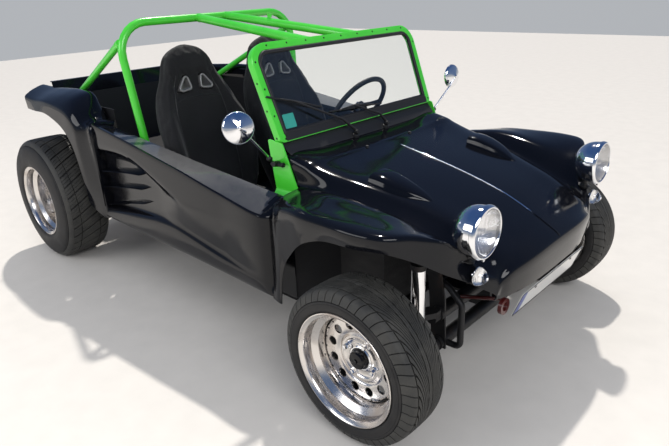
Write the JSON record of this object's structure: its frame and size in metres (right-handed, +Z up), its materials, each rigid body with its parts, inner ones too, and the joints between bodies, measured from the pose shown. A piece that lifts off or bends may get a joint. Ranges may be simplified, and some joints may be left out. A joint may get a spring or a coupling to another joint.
{
  "type": "dune buggy",
  "caption": "Open two-seat dune buggy with moulded body, tubular roll cage, framed windscreen, bucket seats and exposed rear engine",
  "frame": {"origin": "centre of the bounding box, on the ground", "axes": "+X forward to the nose, +Y to the car's left, +Z up"},
  "size_m": [3.4178, 1.703, 1.3529],
  "materials": {
    "body_black": "gloss",
    "cage_lime": "gloss",
    "tub_black": "satin",
    "chassis_black": "satin",
    "seat_fabric": "matte",
    "screen_glass": "gloss",
    "lamp_glass": "gloss",
    "seal_rubber": "matte",
    "tyre_black": "matte",
    "wheel_steel": "gloss",
    "chrome_trim": "gloss",
    "lamp_red": "gloss",
    "plate_white": "satin",
    "tow_red": "gloss",
    "engine_alloy": "satin",
    "exhaust_steel": "satin"
  },
  "bodies": {
    "chassis": {"cabin_tub": "tub_black", "dash_panel": "tub_black", "engine": "engine_alloy", "exhaust": "exhaust_steel", "fan_shroud": "chassis_black", "floor_pan": "chassis_black", "front_axle": "chassis_black", "front_dampers": "chrome_trim", "front_fender_left": "body_black", "front_fender_right": "body_black", "front_guard": "chassis_black", "front_panel": "body_black", "gear_lever": "chassis_black", "headlamp_lenses": "lamp_glass", "headlamp_shells": "chrome_trim", "indicators": "lamp_glass", "mirrors": "chrome_trim", "number_plate": "plate_white", "rear_fender_left": "body_black", "rear_fender_right": "body_black", "rear_panel": "body_black", "rear_suspension": "chassis_black", "roll_cage": "cage_lime", "seat_left": "seat_fabric", "seat_right": "seat_fabric", "side_panel_left": "body_black", "side_panel_right": "body_black", "steering_box": "chassis_black", "steering_column": "chassis_black", "tail_lamps": "lamp_red", "tow_eye": "tow_red", "transaxle": "engine_alloy", "windscreen_frame": "cage_lime", "windscreen_glass": "screen_glass", "windscreen_seal": "seal_rubber"},
    "knuckle_l": {"knuckle_left": "chassis_black"},
    "knuckle_r": {"knuckle_right": "chassis_black"},
    "wheel_fl": {"front_rim_left": "wheel_steel", "front_tyre_left": "tyre_black", "front_drum_left": "chassis_black"},
    "wheel_fr": {"front_rim_right": "wheel_steel", "front_tyre_right": "tyre_black", "front_drum_right": "chassis_black"},
    "wheel_rl": {"rear_rim_left": "wheel_steel", "rear_tyre_left": "tyre_black", "rear_drum_left": "chassis_black"},
    "wheel_rr": {"rear_rim_right": "wheel_steel", "rear_tyre_right": "tyre_black", "rear_drum_right": "chassis_black"},
    "hand_wheel": {"steering_wheel": "seal_rubber"},
    "track_rod": {"track_rods": "chassis_black"}
  },
  "joints": [
    {"name": "steer_left", "type": "hinge", "parent": "chassis", "child": "knuckle_l", "pos_m": [1.361, 0.63, 0.288], "axis": [0, 0, 1], "range_deg": [-28, 28]},
    {"name": "steer_right", "type": "hinge", "parent": "chassis", "child": "knuckle_r", "pos_m": [1.361, -0.63, 0.288], "axis": [0, 0, 1], "range_deg": [-29, 29]},
    {"name": "spin_front_left", "type": "hinge", "parent": "knuckle_l", "child": "wheel_fl", "pos_m": [1.361, 0.741, 0.288], "axis": [0, 1, 0], "continuous": true},
    {"name": "spin_front_right", "type": "hinge", "parent": "knuckle_r", "child": "wheel_fr", "pos_m": [1.361, -0.741, 0.288], "axis": [0, 1, 0], "continuous": true},
    {"name": "spin_rear_left", "type": "hinge", "parent": "chassis", "child": "wheel_rl", "pos_m": [-1.039, 0.712, 0.3555], "axis": [0, 1, 0], "continuous": true},
    {"name": "spin_rear_right", "type": "hinge", "parent": "chassis", "child": "wheel_rr", "pos_m": [-1.039, -0.712, 0.3555], "axis": [0, 1, 0], "continuous": true},
    {"name": "steering_turn", "type": "hinge", "parent": "chassis", "child": "hand_wheel", "pos_m": [0.461, 0.3, 0.872], "axis": [-0.8387, 0, 0.5446], "range_deg": [-400, 400]},
    {"name": "rod_slide", "type": "slide", "parent": "chassis", "child": "track_rod", "axis": [0, 1, 0], "range_m": [-0.06, 0.06]}
  ],
  "couplings": [
    {"joint": "steer_right", "follows": "steer_left", "ratio": 1},
    {"joint": "steering_turn", "follows": "steer_left", "ratio": 14},
    {"joint": "rod_slide", "follows": "steer_left", "m_per_rad": -0.118}
  ]
}
